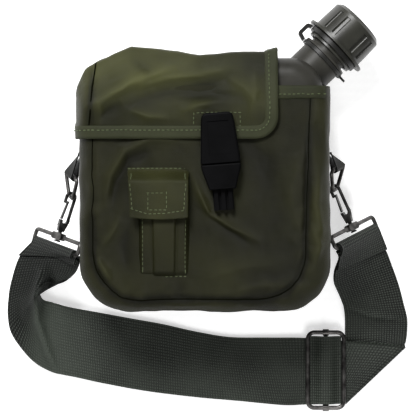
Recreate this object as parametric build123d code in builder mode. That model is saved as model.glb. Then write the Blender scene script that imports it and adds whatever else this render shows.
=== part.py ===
from build123d import *
import os
from math import cos, radians, sin

# A two-quart canteen in a cloth cover with a webbing shoulder sling, lying on its back.
# Millimetres. +Z points out of the front panel, +Y from the bottom seam to the flap, +X to
# the side with the neck. The origin is the middle of the flat back face of the cover.

# ---------------------------------------------------------------- driving dimensions
cloth = 1.6                 # thickness of the coated nylon cloth
webbing = 1.8               # thickness of one layer of sling webbing
sling_width = 50.8          # two inch webbing

pouch_width = 178.0
pouch_bottom = -94.5        # Y of the bottom of the gusset
pouch_top = 91.0            # Y of the top of the closed form
pouch_depth = 76.0
pouch_edge = 13.0           # roll of the gusset into the front and back panels
pouch_bottom_corner = 34.0
pouch_top_corner = 22.0
mouth_y = 66.0              # top edge of the front panel, where the neck comes out

flap_gap = 1.4
flap_right = 52.0
flap_lower = 28.0
flap_corner = 16.0
flap_hinge_y, flap_hinge_z = 88.0, 6.0
tape_width = 9.0            # binding tape
tape_thick = 0.9

lining_gap = 0.2
lining_thick = 1.5
bottle_gap = 0.6
bottle_wall = 2.0
bottle_top = 87.0
bottle_edge = 14.0

neck_angle = 46.0           # from +Y towards +X
flange_centre = (95.5, 97.6, 38.0)
neck_r = 16.4
neck_end = -12.0            # distances along the neck are from the cap's flange
spout_r, spout_bore = 15.0, 12.6
spout_top = 18.9
thread_pitch = 4.5
thread_height = 1.4
cap_r, cap_inner_r = 21.2, 16.9
cap_top = 24.3
cap_flange_r = 25.3
skirt_bottom = -7.0

pocket_left, pocket_right = -49.0, -9.5
pocket_flap_left, pocket_flap_right = -55.5, -11.5
pocket_bottom, pocket_mouth = -72.5, -2.0
pocket_depth = 9.0
pocket_flap_top, pocket_flap_bottom = 7.5, -28.0

latch_x = 11.2
latch_tilt = 4.5            # degrees; the lower end leans towards +X
latch_split = 10.4          # Y of the slit between the two halves of the latch
latch_top, latch_bottom = 46.5, -8.0
latch_wide, latch_narrow = 28.4, 21.6
latch_back, latch_front = 80.4, 88.4

tab_root_y = 19.0           # the sling swings about this line
mid_z = 38.0
ring_wire = 1.4             # radii of wire
hook_wire = 1.2
loop_wire = 1.5
slider_wire = 1.6
hook_length = 33.0          # from the hook's crown to the bar of its swivel loop
loop_inner = 52.0
loop_reach = 9.0
slider_centre = (90.4, -142.6)
slider_long, slider_short = 56.5, 27.0

far = 1000.0                # larger than the object, for cutting boxes


# ---------------------------------------------------------------- shared forms
def pillow(x0, x1, y0, y1, z0, z1, bottom_corner, top_corner, edge):
    """A closed cushion-like form: a rounded outline with rolled front and back edges."""
    with BuildPart() as form:
        with BuildSketch(Plane.XY.offset(z0)):
            with Locations(((x0 + x1) / 2, (y0 + y1) / 2)):
                Rectangle(x1 - x0, y1 - y0)
            fillet(vertices().group_by(Axis.Y)[0], bottom_corner)
            fillet(vertices().group_by(Axis.Y)[-1], top_corner)
        extrude(amount=z1 - z0)
        rims = form.faces().sort_by(Axis.Z)[0].edges() + form.faces().sort_by(Axis.Z)[-1].edges()
        fillet(rims, edge)
    return form.part


def pouch_form(inset):
    """The outer form of the filled cover, drawn in by inset all round."""
    half = pouch_width / 2 - inset
    return pillow(
        -half, half, pouch_bottom + inset, pouch_top - inset, inset, pouch_depth - inset,
        pouch_bottom_corner - inset, pouch_top_corner - inset, pouch_edge - inset,
    )


def cutting_box(x0, x1, y0, y1, z0, z1):
    """A plain box between two corners, used only for cutting and intersecting."""
    with BuildPart() as cutter:
        with Locations(((x0 + x1) / 2, (y0 + y1) / 2, (z0 + z1) / 2)):
            Box(x1 - x0, y1 - y0, z1 - z0)
    return cutter.part


def panel_prism(margin):
    """The flat field inside the rolled edges, as a prism through the whole depth."""
    half = pouch_width / 2 - margin
    with BuildPart() as prism:
        with BuildSketch(Plane.XY.offset(-10)):
            with Locations((0, (pouch_bottom + pouch_top) / 2)):
                Rectangle(2 * half, pouch_top - pouch_bottom - 2 * margin)
            fillet(vertices().group_by(Axis.Y)[0], pouch_bottom_corner - margin)
            fillet(vertices().group_by(Axis.Y)[-1], pouch_top_corner - margin)
        extrude(amount=pouch_depth + 20)
    return prism.part


def frame_at(origin, across, along):
    """A plane whose x runs across and whose y runs along."""
    x_dir, y_dir = Vector(*across).normalized(), Vector(*along).normalized()
    return Plane(origin=Vector(*origin), x_dir=x_dir, z_dir=x_dir.cross(y_dir))


def wire_form(plane, points, corner, radius, closed=True):
    """Round wire bent along a polyline in the plane, with rounded corners."""
    with BuildPart() as bent:
        with BuildLine(plane) as path:
            FilletPolyline(*points, radius=corner, close=closed)
        start = path.line @ 0
        with BuildSketch(Plane(origin=start, z_dir=path.line % 0)):
            Circle(radius)
        sweep()
    return bent.part


# ---------------------------------------------------------------- cover, cloth parts
shell = pouch_form(0) - pouch_form(cloth)
prism = panel_prism(pouch_edge)
below_mouth = cutting_box(-far, far, -far, mouth_y, -far, far)
front_half = cutting_box(-far, far, -far, far, pouch_depth / 2, far)
back_half = cutting_box(-far, far, -far, far, -far, pouch_depth / 2)
flap_root = cutting_box(-far, flap_right, mouth_y, far, -far, flap_hinge_z - 0.5)

with BuildPart() as back_panel:
    add(shell)
    add(back_half, mode=Mode.INTERSECT)
    add(prism, mode=Mode.INTERSECT)
    add(shell & flap_root)

with BuildPart() as front_panel:
    add(shell)
    add(front_half, mode=Mode.INTERSECT)
    add(prism, mode=Mode.INTERSECT)
    add(below_mouth, mode=Mode.INTERSECT)

with BuildPart() as gusset:
    add(shell)
    add(below_mouth, mode=Mode.INTERSECT)
    add(prism, mode=Mode.SUBTRACT)

lining_outer = cloth + lining_gap
with BuildPart() as lining:
    add(pouch_form(lining_outer))
    add(pouch_form(lining_outer + lining_thick), mode=Mode.SUBTRACT)
    add(cutting_box(-far, far, -far, mouth_y - 3, -far, far), mode=Mode.INTERSECT)

with BuildPart() as mouth_binding:
    half_tape = pouch_width / 2 - pouch_edge
    with Locations((0, mouth_y + 0.5 - tape_width / 2, pouch_depth + 0.05 + tape_thick / 2)):
        Box(2 * half_tape, tape_width, tape_thick)
    fillet(edges().filter_by(Axis.X), 0.4)

piping_r = 1.1
with BuildPart() as seam_piping:
    inset = pouch_edge - 1.0
    half = pouch_width / 2 - inset
    low = pouch_bottom + inset
    left_top, right_top = flap_lower - 2.0, mouth_y - tape_width - 1.5
    seam_plane = Plane.XY.offset(pouch_depth + piping_r + 0.06)
    with BuildLine(seam_plane) as seam:
        FilletPolyline((-half, left_top), (-half, low), (half, low), (half, right_top),
                       radius=pouch_bottom_corner - inset)
    with BuildSketch(Plane(origin=seam.line @ 0, z_dir=seam.line % 0)):
        Circle(piping_r)
    sweep()

# ---------------------------------------------------------------- flap
with BuildPart() as flap_shell:
    add(pouch_form(-flap_gap - cloth))
    add(pouch_form(-flap_gap), mode=Mode.SUBTRACT)
    with BuildSketch(Plane.XY.offset(flap_hinge_z)):
        with Locations((flap_right - 100, flap_lower + 50)):
            Rectangle(200, 100)
        fillet(vertices().group_by(Axis.Y)[0].sort_by(Axis.X)[-1], flap_corner)
    extrude(amount=100, mode=Mode.INTERSECT)
    add(cutting_box(-far, far, -far, 70, -far, pouch_edge + 3), mode=Mode.SUBTRACT)
    add(cutting_box(-far, -pouch_width / 2 + 3, -far, flap_lower + 4, -far, 60), mode=Mode.SUBTRACT)

flap_face = pouch_depth + flap_gap + cloth
with BuildPart() as flap_binding:
    left = -pouch_width / 2 + pouch_edge
    with BuildSketch(Plane.XY.offset(flap_face + 0.05)):
        with BuildLine():
            FilletPolyline((left, flap_lower + tape_width), (left, flap_lower),
                           (flap_right, flap_lower), (flap_right, pouch_top - pouch_edge),
                           (flap_right - tape_width, pouch_top - pouch_edge),
                           (flap_right - tape_width, flap_lower + tape_width),
                           radius=(0, 0, flap_corner, 0, 0, flap_corner - tape_width), close=True)
        make_face()
    extrude(amount=tape_thick)

# ---------------------------------------------------------------- bottle, spout and cap
u = Vector(sin(radians(neck_angle)), cos(radians(neck_angle)), 0)
neck_side = Vector(-u.Y, u.X, 0)


def neck_plane(distance):
    """A plane square to the neck, at a distance from the cap's flange along it."""
    return Plane(origin=Vector(*flange_centre) + u * distance, x_dir=neck_side, z_dir=u)


def ring(distance, length, outer, inner):
    """A plain ring round the neck's axis."""
    with BuildPart() as band:
        with BuildSketch(neck_plane(distance)):
            Circle(outer)
            Circle(inner, mode=Mode.SUBTRACT)
        extrude(amount=length)
    return band.part


def helical_thread(start, turns, root, crest, phase):
    """One ridge of trapezoid section wound round the neck's axis."""
    toward = 1 if crest > root else -1
    with BuildPart() as thread:
        with BuildLine() as coil:
            Helix(pitch=thread_pitch, height=thread_pitch * turns, radius=root)
        with BuildSketch(Plane(origin=coil.line @ 0, x_dir=(1, 0, 0), z_dir=coil.line % 0)):
            with BuildLine():
                Polyline((-0.3 * toward, -1.05), ((crest - root), -0.4),
                         ((crest - root), 0.4), (-0.3 * toward, 1.05), close=True)
            make_face()
        sweep(is_frenet=True)
    return thread.part.moved(neck_plane(start).location * Rotation(0, 0, phase))


bottle_inset = lining_outer + lining_thick + bottle_gap
bottle_half = pouch_width / 2 - bottle_inset


def bottle_form(inset):
    """The blow-moulded body and neck, drawn in by inset."""
    half = bottle_half - inset
    body = pillow(
        -half, half, pouch_bottom + bottle_inset + inset, bottle_top - inset,
        bottle_inset + inset, pouch_depth - bottle_inset - inset,
        pouch_bottom_corner - bottle_inset - inset, 24 - inset, bottle_edge - inset,
    )
    with BuildPart() as form:
        add(body)
        with BuildSketch(neck_plane(-58)):
            Circle(neck_r - inset)
        extrude(amount=neck_end + 58)
    return form.part


with BuildPart() as bottle_front:
    add(bottle_form(0))
    add(bottle_form(bottle_wall), mode=Mode.SUBTRACT)
    add(front_half, mode=Mode.INTERSECT)

with BuildPart() as bottle_back:
    add(bottle_form(0))
    add(bottle_form(bottle_wall), mode=Mode.SUBTRACT)
    add(back_half, mode=Mode.INTERSECT)

with BuildPart() as spout:
    add(ring(neck_end - 14, 14.6, neck_r - bottle_wall - 0.1, spout_bore))
    add(ring(neck_end + 0.1, 1.6, 18.3, spout_bore))
    add(ring(neck_end + 0.1, spout_top - neck_end - 0.1, spout_r, spout_bore))

with BuildPart() as spout_thread:
    add(helical_thread(-1.0, 3.0, spout_r + 0.25, spout_r + thread_height, 0))
    add(ring(neck_end + 2, 30, spout_r + 0.02, spout_r - 2), mode=Mode.SUBTRACT)

with BuildPart() as cap:
    with BuildSketch(Plane(origin=Vector(*flange_centre), x_dir=neck_side, z_dir=Vector(0, 0, -1))):
        with BuildLine():
            Polyline((cap_inner_r, skirt_bottom), (19.3, skirt_bottom), (19.3, skirt_bottom + 1.4),
                     (18.4, skirt_bottom + 1.9), (18.4, -1.1), (cap_flange_r, -0.9),
                     (cap_flange_r, 0.9), (cap_r + 0.3, 1.1), (cap_r - 0.2, cap_top - 2.6),
                     (cap_r - 2.8, cap_top), (0, cap_top), (0, cap_top - 3.8),
                     (cap_inner_r, cap_top - 3.8), close=True)
        make_face()
    revolve(axis=Axis(Vector(*flange_centre), u))
    with BuildSketch(neck_plane(3.0)):
        for cluster in range(5):
            for side in (-11, 11):
                with PolarLocations(cap_r + 0.1, 1, start_angle=72 * cluster + side - 13):
                    SlotOverall(4.4, 2.8, rotation=90)
    extrude(amount=16.0, mode=Mode.SUBTRACT)

with BuildPart() as cap_thread:
    add(helical_thread(-4.0, 3.4, cap_inner_r - 0.25, cap_inner_r - thread_height, -60))
    add(ring(skirt_bottom, 32, cap_inner_r + 3, cap_inner_r - 0.02), mode=Mode.SUBTRACT)

with BuildPart() as cap_gasket:
    with BuildSketch(neck_plane(spout_top + 0.2)):
        Circle(cap_inner_r - 0.4)
    extrude(amount=1.3)

with BuildPart() as tether_cap_ring:
    add(ring(-4.7, 3.2, 21.3, 18.7))

with BuildPart() as tether_neck_ring:
    add(ring(neck_end - 3.0, 2.6, 18.8, neck_r + 0.2))
    with BuildSketch(neck_plane(neck_end - 2.4)):
        with BuildLine():
            Polyline((-17.6, -3.5), (-23.5, -1.0), (-23.5, 1.0), (-17.6, 3.5), close=True)
        make_face()
    extrude(amount=1.4)

with BuildPart() as tether_strap:
    with BuildSketch(Plane(origin=Vector(*flange_centre) + Vector(0, 0, 3.5), x_dir=neck_side,
                           z_dir=Vector(0, 0, -1))):
        with BuildLine():
            FilletPolyline((19.1, -15.2), (26.2, -13.4), (26.2, -3.0), (21.6, -1.8),
                           (21.6, -4.2), (23.4, -5.2), (23.4, -11.4), (19.1, -12.6),
                           radius=(0, 3.0, 3.0, 0, 0, 1.0, 1.0, 0), close=True)
        make_face()
    extrude(amount=7.0)

# ---------------------------------------------------------------- small pocket
pocket_face = pouch_depth + 0.05 + pocket_depth
with BuildPart() as pocket_body:
    pocket_x = (pocket_left + pocket_right) / 2
    pocket_wide = pocket_right - pocket_left
    pocket_long = pocket_mouth - pocket_bottom
    with Locations((pocket_x, (pocket_mouth + pocket_bottom) / 2, pouch_depth + 0.05 + pocket_depth / 2)):
        Box(pocket_wide, pocket_long, pocket_depth)
    fillet(edges().filter_by(Axis.Y).group_by(Axis.Z)[-1], 3.0)
    fillet(faces().sort_by(Axis.Y)[0].edges().group_by(Axis.Z)[-1], 3.0)
    wall = 1.2
    with Locations((pocket_x, (pocket_mouth + pocket_bottom + wall) / 2 + 1,
                    pouch_depth + 0.05 + pocket_depth / 2 + 0.2)):
        Box(pocket_wide - 2 * wall, pocket_long - wall + 2, pocket_depth - 2 * wall, mode=Mode.SUBTRACT)

patch_thick = 0.7
with BuildPart() as pocket_loop_patch:
    with Locations((pocket_x, -17.0, pocket_face + 0.05 + patch_thick / 2)):
        Box(16.0, 13.0, patch_thick)
    fillet(edges().filter_by(Axis.Z), 1.0)

with BuildPart() as pocket_hook_patch:
    with Locations((pocket_x, -17.0, pocket_face + 0.35 + 1.5 * patch_thick)):
        Box(15.0, 12.0, patch_thick)
    fillet(edges().filter_by(Axis.Z), 1.0)

pocket_flap_face = pocket_face + 0.4 + 2 * patch_thick
with BuildPart() as pocket_flap:
    with BuildSketch(Plane.YZ.offset(pocket_flap_left)):
        with BuildLine():
            Polyline((pocket_flap_top, pouch_depth + 0.3), (pocket_mouth + 3.5, pocket_flap_face + 1.2),
                     (pocket_flap_bottom, pocket_flap_face + 1.2), (pocket_flap_bottom, pocket_flap_face),
                     (pocket_mouth + 3.0, pocket_flap_face),
                     (pocket_flap_top - 1.6, pouch_depth + 0.3), close=True)
        make_face()
    extrude(amount=pocket_flap_right - pocket_flap_left)
    fillet(edges().filter_by(Axis.Z).group_by(Axis.Y)[0], 2.5)

# ---------------------------------------------------------------- latch
with BuildPart() as latch_socket:
    with BuildSketch(Plane.XY.offset(latch_back)):
        with BuildLine():
            Polyline((latch_x - latch_wide / 2, latch_split + 0.4),
                     (latch_x + latch_wide / 2, latch_split + 0.4),
                     (latch_x + latch_narrow / 2 + 1.2, latch_top - 8),
                     (latch_x + latch_narrow / 2, latch_top),
                     (latch_x - latch_narrow / 2, latch_top),
                     (latch_x - latch_narrow / 2 - 1.2, latch_top - 8), close=True)
        make_face()
    extrude(amount=latch_front - latch_back)
    fillet(edges().filter_by(Axis.Z).group_by(Axis.Y)[-1], 4.0)
    fillet(edges().group_by(Axis.Z)[-1].sort_by(Axis.Y)[1:], 1.6)
    with Locations((latch_x, (latch_split + latch_top) / 2, latch_front)):
        Box(15.0, 24.0, 1.4, mode=Mode.SUBTRACT)
    with BuildSketch(Plane.XZ.offset(-latch_split)):
        with Locations((latch_x, (latch_back + latch_front) / 2)):
            Rectangle(21.6, 4.4)
    extrude(amount=-25.0, mode=Mode.SUBTRACT)
    with Locations((latch_x, latch_split + 9.0, latch_back + 1.0)):
        Box(21.6, 22.0, 4.0, mode=Mode.SUBTRACT)
    with Locations((latch_x, latch_split + 11.0, (latch_back + latch_front) / 2)):
        Box(60, 10.0, 3.8, mode=Mode.SUBTRACT)
    with Locations((latch_x, latch_top - 5.0, latch_back + 1.0)):
        Box(14.4, 5.0, 3.0, mode=Mode.SUBTRACT)

with BuildPart() as latch_socket_tape:
    with Locations((latch_x, latch_top - 5.0, (flap_face + latch_back + 2.4) / 2 + 0.05)):
        Box(14.0, 4.6, latch_back + 2.4 - flap_face - 0.1)

with BuildPart() as latch_plug:
    with BuildSketch(Plane.XY.offset(latch_back - 1.0)):
        with BuildLine():
            Polyline((latch_x - latch_wide / 2, latch_split - 0.4),
                     (latch_x - latch_wide / 2 + 0.4, latch_split - 4),
                     (latch_x - 9.4, latch_bottom), (latch_x + 9.4, latch_bottom),
                     (latch_x + latch_wide / 2 - 0.4, latch_split - 4),
                     (latch_x + latch_wide / 2, latch_split - 0.4), close=True)
        make_face()
    extrude(amount=latch_front - latch_back + 0.6)
    fillet(edges().group_by(Axis.Z)[-1], 1.2)
    tongue_mid = (latch_back + latch_front) / 2
    with Locations((latch_x, latch_split + 8.8, tongue_mid)):
        Box(5.0, 19.2, 3.2)
    with Locations((latch_x, latch_bottom - 7.2, latch_back - 0.3)):
        Box(14.5, 15.0, 1.4)
    with Locations((latch_x - 5.0, latch_bottom - 7.2, latch_back + 1.6),
                   (latch_x, latch_bottom - 7.2, latch_back + 1.6),
                   (latch_x + 5.0, latch_bottom - 7.2, latch_back + 1.6)):
        Box(2.8, 15.0, 3.6)

arms = {}
for name, side in (("latch_arm_left", -1), ("latch_arm_right", 1)):
    with BuildPart() as arm:
        with BuildSketch(Plane.XY.offset(tongue_mid - 1.6)):
            with BuildLine():
                Polyline(*[(latch_x + side * across, latch_split + along) for across, along in (
                    (6.4, 0.0), (8.6, 0.0), (9.2, 6.0), (10.4, 7.4), (10.4, 11.0), (8.6, 16.8),
                    (6.8, 18.0), (6.4, 16.4), (8.0, 11.0))], close=True)
            make_face()
        extrude(amount=3.2)
    arms[name] = arm

with BuildPart() as latch_plug_tape:
    with Locations((latch_x, latch_bottom + 1.5, pouch_depth + 0.05 + 0.7)):
        Box(13.0, 29.0, 1.4)
    with Locations((latch_x, latch_bottom + 8.5, (pouch_depth + 1.45 + latch_back - 1.35) / 2)):
        Box(13.0, 8.0, latch_back - 1.35 - pouch_depth - 1.45)

# ---------------------------------------------------------------- sling hardware
up = Vector(0, 0, 1)
sides = {
    "left": dict(root=(-90.8, tab_root_y, mid_z), bar=(-97.8, 3.0, mid_z), lean=0.36,
                 drop=(-0.04, -0.955, -0.29), run=(-0.30, -0.95, 0.0), roll=48.0),
    "right": dict(root=(90.8, tab_root_y, mid_z), bar=(97.2, 8.5, mid_z), lean=-0.36,
                  drop=(-0.10, -0.95, -0.28), run=(0.41, -0.91, 0.0), roll=-48.0),
}
ring_reach = 17.0
hardware = {}
stations = {}

for side, place in sides.items():
    bar_mid = Vector(*place["bar"])
    drop = Vector(*place["drop"]).normalized()
    tilt = Vector(place["lean"], 0, 0.93)
    bar_dir = (tilt - drop * tilt.dot(drop)).normalized()
    ring_plane = frame_at(bar_mid, bar_dir, drop)

    with BuildPart() as d_ring:
        add(wire_form(ring_plane, [(0, 0), (14.0, 0), (4.6, ring_reach), (-4.6, ring_reach), (-14.0, 0)],
                      (0, 2.2, 3.4, 3.4, 2.2), ring_wire))

    root = Vector(*place["root"])
    to_bar = (bar_mid - root).normalized()
    with BuildPart() as tab:
        with BuildSketch(Plane(origin=root, x_dir=up, z_dir=to_bar)):
            Rectangle(18.0, 2.4)
        near_bar = bar_mid - to_bar * 2.2
        with BuildSketch(Plane(origin=near_bar, x_dir=bar_dir, z_dir=to_bar)):
            Rectangle(20.0, 3.4)
        loft(ruled=True)
        with BuildSketch(Plane(origin=bar_mid - bar_dir * 10.0, z_dir=bar_dir)):
            Circle(3.3)
        extrude(amount=20.0)
        with BuildSketch(Plane(origin=bar_mid - bar_dir * 12.0, z_dir=bar_dir)):
            Circle(ring_wire + 0.3)
        extrude(amount=24.0, mode=Mode.SUBTRACT)

    run = Vector(*place["run"]).normalized()
    crown = bar_mid + drop * ring_reach
    hook_origin = crown - run * (ring_wire + hook_wire + 0.35)
    square = (bar_dir - run * bar_dir.dot(run)).normalized()
    hook_across = run.cross(square)
    if hook_across.X < 0:
        hook_across = hook_across * -1
    hook_plane = frame_at(hook_origin, hook_across, run)

    with BuildPart() as hook:
        add(wire_form(hook_plane, [(-3.3, 8.2), (-3.3, 0), (3.3, 0), (3.3, 23.0), (1.4, 27.0)],
                      (3.2, 3.2, 4.0), hook_wire, closed=False))
        with BuildSketch(hook_plane.offset(-1.7)):
            with BuildLine():
                Polyline((-3.4, 20.6), (-1.2, 20.6), (-0.8, 22.8), (1.6, 22.8), (4.0, 19.0),
                         (4.3, 21.0), (2.3, 29.2), (-2.3, 29.2), close=True)
            make_face()
        extrude(amount=3.4)
        with BuildSketch(Plane(origin=hook_origin + run * 28.6, z_dir=run)):
            Circle(1.5)
        extrude(amount=hook_length + 3.1 - 28.6)
        with BuildSketch(Plane(origin=hook_origin + run * (hook_length + 3.0), z_dir=run)):
            Circle(2.3)
        extrude(amount=1.1)

    with BuildPart() as gate:
        with BuildSketch(hook_plane.offset(-1.3)):
            with BuildLine():
                Polyline((-2.9, 20.2), (-1.6, 20.2), (-0.6, 6.6), (-1.6, 6.4), close=True)
            make_face()
        extrude(amount=2.6)

    with BuildPart() as gate_rivet:
        with BuildSketch(Plane(origin=hook_plane.from_local_coords((-1.7, 24.6, 1.75)),
                               z_dir=hook_plane.z_dir)):
            Circle(1.3)
        extrude(amount=0.7)

    bar_centre = hook_origin + run * hook_length
    level = Vector(-run.Y, run.X, 0).normalized()
    raised = run.cross(level)
    if raised.Z < 0:
        raised = raised * -1
    turn = radians(place["roll"])
    across = (level * cos(turn) + raised * sin(turn)).normalized()
    loop_plane = frame_at(bar_centre, across, run)
    half_loop = loop_inner / 2 + loop_wire

    with BuildPart() as swivel_loop:
        add(wire_form(loop_plane, [(0, 0), (half_loop, 0), (half_loop, loop_reach), (-half_loop, loop_reach),
                                   (-half_loop, 0)], (0, 2.6, 2.6, 2.6, 2.6), loop_wire))
        with BuildSketch(loop_plane.offset(-2.6)):
            SlotOverall(12.0, 5.2)
        extrude(amount=5.2)
        with BuildSketch(Plane(origin=bar_centre - run * 6, z_dir=run)):
            Circle(1.85)
        extrude(amount=12, mode=Mode.SUBTRACT)

    hardware.update({
        f"d_ring_{side}": d_ring, f"tab_{side}": tab, f"hook_{side}": hook, f"gate_{side}": gate,
        f"gate_rivet_{side}": gate_rivet, f"swivel_loop_{side}": swivel_loop,
    })
    stations[side] = dict(loop=loop_plane, run=run, across=across)

# ---------------------------------------------------------------- sling webbing
layers = 2 * webbing
outer_edge = [(-148.0, -92.0), (-148.0, -106.0), (-141.0, -119.0), (-131.0, -135.0), (-115.0, -145.0),
              (-53.0, -157.5), (12.5, -166.5), (76.0, -168.8), (106.0, -166.6), (149.5, -124.0),
              (151.5, -107.5), (148.0, -92.0)]
inner_edge = [(101.0, -92.0), (101.0, -117.8), (34.0, -117.0), (-8.0, -112.5), (-32.0, -108.0),
              (-83.0, -99.0), (-104.0, -92.0)]

with BuildPart() as strap:
    with BuildSketch():
        with BuildLine():
            Polyline(*outer_edge, *inner_edge, close=True)
        make_face()
    extrude(amount=layers)
    for side, foot in (("left", (-126.5, -93.0)), ("right", (125.0, -93.0))):
        spot = stations[side]
        bar = spot["loop"].from_local_coords((0, loop_reach, 0))
        with BuildSketch(Plane(origin=bar + spot["run"] * 2.4, x_dir=spot["across"], z_dir=spot["run"])):
            Rectangle(sling_width - 1.6, layers)
        with BuildSketch(Plane(origin=Vector(foot[0], foot[1], layers / 2), x_dir=Vector(1, 0, 0),
                               z_dir=Vector(0, -1, 0))):
            Rectangle(sling_width - 6.0, layers)
        loft(ruled=True)
        with BuildSketch(Plane(origin=bar - spot["across"] * (sling_width / 2 - 0.8),
                               z_dir=spot["across"])):
            Circle(loop_wire + 0.3 + webbing)
            Circle(loop_wire + 0.3, mode=Mode.SUBTRACT)
        extrude(amount=sling_width - 1.6)
        with BuildSketch(Plane(origin=bar - spot["across"] * (sling_width / 2 + 1),
                               z_dir=spot["across"])):
            Circle(loop_wire + 0.3)
        extrude(amount=sling_width + 2, mode=Mode.SUBTRACT)

slider_z = layers + 1.2 + slider_wire
slider_plane = Plane(origin=(slider_centre[0], slider_centre[1], slider_z))
half_x, half_y = slider_short / 2, slider_long / 2
with BuildPart() as slider_frame:
    add(wire_form(slider_plane, [(0, half_y), (half_x, half_y), (half_x, -half_y), (-half_x, -half_y),
                                 (-half_x, half_y)], (0, 5.0, 5.0, 5.0, 5.0), slider_wire))

with BuildPart() as slider_bar:
    with BuildSketch(Plane(origin=(slider_centre[0], slider_centre[1] - half_y + 2.4, slider_z),
                           z_dir=(0, 1, 0))):
        Circle(slider_wire)
    extrude(amount=slider_long - 4.8)
    for end in (-half_y, half_y):
        with BuildSketch(Plane(origin=(slider_centre[0] - 2.2, slider_centre[1] + end, slider_z),
                               z_dir=(1, 0, 0))):
            Circle(slider_wire + 0.9)
            Circle(slider_wire + 0.1, mode=Mode.SUBTRACT)
        extrude(amount=4.4)

with BuildPart() as strap_bridge:
    with BuildSketch(Plane.XZ.offset(-(slider_centre[1] - sling_width / 2))):
        with BuildLine():
            foot, crest = layers + 0.1, slider_z + slider_wire + 0.3
            Polyline(*[(slider_centre[0] + x, z) for x, z in (
                (-11.4, foot), (-7.0, foot), (-3.0, crest), (3.0, crest), (7.0, foot), (11.4, foot),
                (11.4, foot + 1.0), (8.0, foot + 1.8), (4.0, crest + 1.8), (-4.0, crest + 1.8),
                (-8.0, foot + 1.8), (-11.4, foot + 1.0))], close=True)
        make_face()
    extrude(amount=-sling_width)

# ---------------------------------------------------------------- write every piece
pieces = {
    "back_panel": back_panel, "front_panel": front_panel, "gusset": gusset, "lining": lining,
    "mouth_binding": mouth_binding, "seam_piping": seam_piping,
    "flap_shell": flap_shell, "flap_binding": flap_binding,
    "bottle_front": bottle_front, "bottle_back": bottle_back, "spout": spout,
    "spout_thread": spout_thread, "cap": cap, "cap_thread": cap_thread, "cap_gasket": cap_gasket,
    "tether_cap_ring": tether_cap_ring, "tether_neck_ring": tether_neck_ring, "tether_strap": tether_strap,
    "pocket_body": pocket_body, "pocket_flap": pocket_flap,
    "pocket_loop_patch": pocket_loop_patch, "pocket_hook_patch": pocket_hook_patch,
    "latch_socket": latch_socket, "latch_socket_tape": latch_socket_tape,
    "latch_plug": latch_plug, "latch_plug_tape": latch_plug_tape, **arms,
    **hardware,
    "strap": strap, "slider_frame": slider_frame, "slider_bar": slider_bar, "strap_bridge": strap_bridge,
}
os.makedirs("parts", exist_ok=True)
latch_turn = Axis((latch_x, latch_split, 0), (0, 0, 1))
for name, piece in pieces.items():
    solid = piece.part
    if name.startswith("latch_"):
        solid = solid.rotate(latch_turn, latch_tilt)
    solid.label = name
    export_step(solid, f"parts/{name}.step")
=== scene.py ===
import bmesh
import bpy
import math
import numpy as np
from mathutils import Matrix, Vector, noise
from mathutils.bvhtree import BVHTree


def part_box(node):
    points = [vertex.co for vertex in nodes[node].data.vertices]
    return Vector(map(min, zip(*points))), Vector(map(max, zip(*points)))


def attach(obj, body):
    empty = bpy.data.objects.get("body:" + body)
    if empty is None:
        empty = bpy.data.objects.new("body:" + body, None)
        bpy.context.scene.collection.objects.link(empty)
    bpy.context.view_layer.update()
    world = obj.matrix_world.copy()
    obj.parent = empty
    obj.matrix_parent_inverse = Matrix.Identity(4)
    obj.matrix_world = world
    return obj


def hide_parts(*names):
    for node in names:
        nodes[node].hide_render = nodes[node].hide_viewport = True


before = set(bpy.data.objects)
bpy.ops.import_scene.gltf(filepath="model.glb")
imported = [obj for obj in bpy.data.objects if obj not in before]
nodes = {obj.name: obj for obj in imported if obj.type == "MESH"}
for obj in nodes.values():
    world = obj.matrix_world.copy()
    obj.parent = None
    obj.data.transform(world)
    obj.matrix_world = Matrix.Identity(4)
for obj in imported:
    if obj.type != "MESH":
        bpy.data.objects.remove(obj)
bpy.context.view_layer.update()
scene = bpy.context.scene


def node_mm(node):
    low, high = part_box(node)
    return Vector(low) * 1000, Vector(high) * 1000


# ------------------------------------------------------------------ camera, floor, light
camera = bpy.data.objects.new("camera", bpy.data.cameras.new("camera"))
camera.data.lens, camera.data.sensor_width = 161, 36
camera.location = (0.0022, -0.0212, 1.4)
scene.collection.objects.link(camera)
scene.camera = camera


def area_light(name, place, target, size, watts, colour=(1, 1, 1)):
    lamp = bpy.data.objects.new(name, bpy.data.lights.new(name, "AREA"))
    lamp.data.size, lamp.data.energy, lamp.data.color = size, watts, colour
    lamp.location = place
    lamp.rotation_euler = (Vector(target) - Vector(place)).to_track_quat("-Z", "Y").to_euler()
    scene.collection.objects.link(lamp)


area_light("key", (-0.32, 0.85, 1.15), (0, 0, 0.03), 0.5, 32)
area_light("fill", (0.25, -1.1, 1.25), (0, -0.05, 0.02), 0.8, 15)
world = bpy.data.worlds.new("studio")
world.use_nodes = True
world.node_tree.nodes["Background"].inputs[0].default_value = (1, 1, 1, 1)
world.node_tree.nodes["Background"].inputs[1].default_value = 0.22
scene.world = world
scene.view_settings.view_transform = "Standard"


# ------------------------------------------------------------------ materials
def shader(name, colour, rough, metallic=0.0, sheen=0.0, spec=0.5, coat=0.0):
    m = bpy.data.materials.new(name)
    m.use_nodes = True
    b = m.node_tree.nodes["Principled BSDF"]
    b.inputs["Base Color"].default_value = (*colour, 1)
    b.inputs["Roughness"].default_value = rough
    b.inputs["Metallic"].default_value = metallic
    b.inputs["Sheen Weight"].default_value = sheen
    b.inputs["Sheen Roughness"].default_value = 0.45
    b.inputs["Specular IOR Level"].default_value = spec
    b.inputs["Coat Weight"].default_value = coat
    return m, m.node_tree, b


def node(tree, kind, **sockets):
    n = tree.nodes.new(kind)
    for key, value in sockets.items():
        n.inputs[key.replace("_", " ")].default_value = value
    return n


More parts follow.
